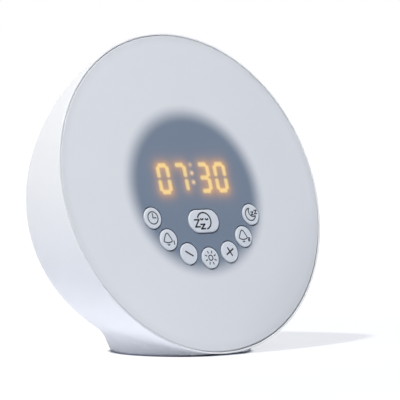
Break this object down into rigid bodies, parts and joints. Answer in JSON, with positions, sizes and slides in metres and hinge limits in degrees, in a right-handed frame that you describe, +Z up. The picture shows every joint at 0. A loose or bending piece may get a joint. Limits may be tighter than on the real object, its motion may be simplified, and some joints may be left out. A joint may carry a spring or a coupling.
{
  "type": "sunrise alarm clock",
  "caption": "Round sunrise alarm clock with a domed frosted front light, amber seven-segment display, ring of push buttons and a short foot, leaning back.",
  "frame": {"origin": "on the resting plane, under the middle of the clock's width and depth", "axes": "+X to the right seen from the front, +Y to the back, +Z up; the lit face looks along -Y, leaning back"},
  "size_m": [0.17, 0.1032, 0.1635],
  "materials": {
    "shell_white": "fine satin moulded",
    "lens_frosted": "frosted diffuser",
    "tray_white": "satin",
    "carrier_grey": "matt",
    "switch_steel": "pressed",
    "display_black": "matt",
    "digit_amber": "lit resin",
    "board_green": "solder mask",
    "board_white": "solder mask",
    "led_phosphor": "phosphor gel",
    "chip_black": "moulded",
    "can_tin": "tinned",
    "capacitor_blue": "sleeve",
    "socket_ivory": "moulded",
    "lead_grey": "flat ribbon",
    "lead_red": "flat twin lead",
    "basket_steel": "pressed",
    "magnet_ferrite": "ferrite",
    "cone_paper": "pressed paper",
    "gasket_foam": "foam",
    "inlet_black": "moulded",
    "contact_steel": "plated",
    "cell_wrap": "plain wrapped cell",
    "pad_rubber": "soft",
    "screw_steel": "zinc plated",
    "button_face": "satin cap",
    "plunger_black": "moulded",
    "symbol_print": "printed ink"
  },
  "bodies": {
    "head": {"rear_shell": "shell_white", "diffuser_lens": "lens_frosted", "power_inlet": "inlet_black", "foot_pads": "pad_rubber", "light_tray": "tray_white", "display_carrier": "carrier_grey", "switch_bodies": "switch_steel", "display_block": "display_black", "digit_bars": "digit_amber", "control_board": "board_green", "led_board": "board_white", "led_chips": "led_phosphor", "main_board": "board_green", "processor_chip": "chip_black", "radio_can": "can_tin", "amplifier_chip": "chip_black", "capacitors": "capacitor_blue", "clock_crystal": "can_tin", "lead_sockets": "socket_ivory", "display_lead": "lead_grey", "led_lead": "lead_grey", "speaker_lead": "lead_red", "inlet_lead": "lead_red", "battery_lead": "lead_red", "speaker_basket": "basket_steel", "speaker_magnet": "magnet_ferrite", "speaker_cone": "cone_paper", "speaker_gasket": "gasket_foam", "battery_bay": "tray_white", "battery_contacts": "contact_steel", "backup_cells": "cell_wrap", "case_screws": "screw_steel", "carrier_screws": "screw_steel", "control_screws": "screw_steel", "main_board_screws": "screw_steel", "led_board_screws": "screw_steel", "speaker_screws": "screw_steel"},
    "button_clock": {"button_clock": "button_face", "plunger_clock": "plunger_black"},
    "button_alarm_1": {"button_alarm_1": "button_face", "plunger_alarm_1": "plunger_black"},
    "button_minus": {"button_minus": "button_face", "plunger_minus": "plunger_black"},
    "button_light": {"button_light": "button_face", "plunger_light": "plunger_black"},
    "button_plus": {"button_plus": "button_face", "plunger_plus": "plunger_black"},
    "button_alarm_2": {"button_alarm_2": "button_face", "plunger_alarm_2": "plunger_black"},
    "button_sleep": {"button_sleep": "button_face", "plunger_sleep": "plunger_black"},
    "button_snooze": {"button_snooze": "button_face", "plunger_snooze": "plunger_black"},
    "battery_door": {"battery_door": "shell_white"}
  },
  "joints": [
    {"name": "press_clock", "type": "slide", "parent": "head", "child": "button_clock", "axis": [0, 0.9563, -0.2924], "range_m": [0, 0.0007], "stiffness_N_per_m": 900, "springref_m": -0.0008},
    {"name": "press_alarm_1", "type": "slide", "parent": "head", "child": "button_alarm_1", "axis": [0, 0.9563, -0.2924], "range_m": [0, 0.0007], "stiffness_N_per_m": 900, "springref_m": -0.0008},
    {"name": "press_minus", "type": "slide", "parent": "head", "child": "button_minus", "axis": [0, 0.9563, -0.2924], "range_m": [0, 0.0007], "stiffness_N_per_m": 900, "springref_m": -0.0008},
    {"name": "press_light", "type": "slide", "parent": "head", "child": "button_light", "axis": [0, 0.9563, -0.2924], "range_m": [0, 0.0007], "stiffness_N_per_m": 900, "springref_m": -0.0008},
    {"name": "press_plus", "type": "slide", "parent": "head", "child": "button_plus", "axis": [0, 0.9563, -0.2924], "range_m": [0, 0.0007], "stiffness_N_per_m": 900, "springref_m": -0.0008},
    {"name": "press_alarm_2", "type": "slide", "parent": "head", "child": "button_alarm_2", "axis": [0, 0.9563, -0.2924], "range_m": [0, 0.0007], "stiffness_N_per_m": 900, "springref_m": -0.0008},
    {"name": "press_sleep", "type": "slide", "parent": "head", "child": "button_sleep", "axis": [0, 0.9563, -0.2924], "range_m": [0, 0.0007], "stiffness_N_per_m": 900, "springref_m": -0.0008},
    {"name": "press_snooze", "type": "slide", "parent": "head", "child": "button_snooze", "axis": [0, 0.9563, -0.2924], "range_m": [0, 0.0007], "stiffness_N_per_m": 900, "springref_m": -0.0008},
    {"name": "battery_door_hinge", "type": "hinge", "parent": "head", "child": "battery_door", "pos_m": [0, -0.0174, 0.0017], "axis": [-1, 0, 0], "range_deg": [0, 80]}
  ]
}
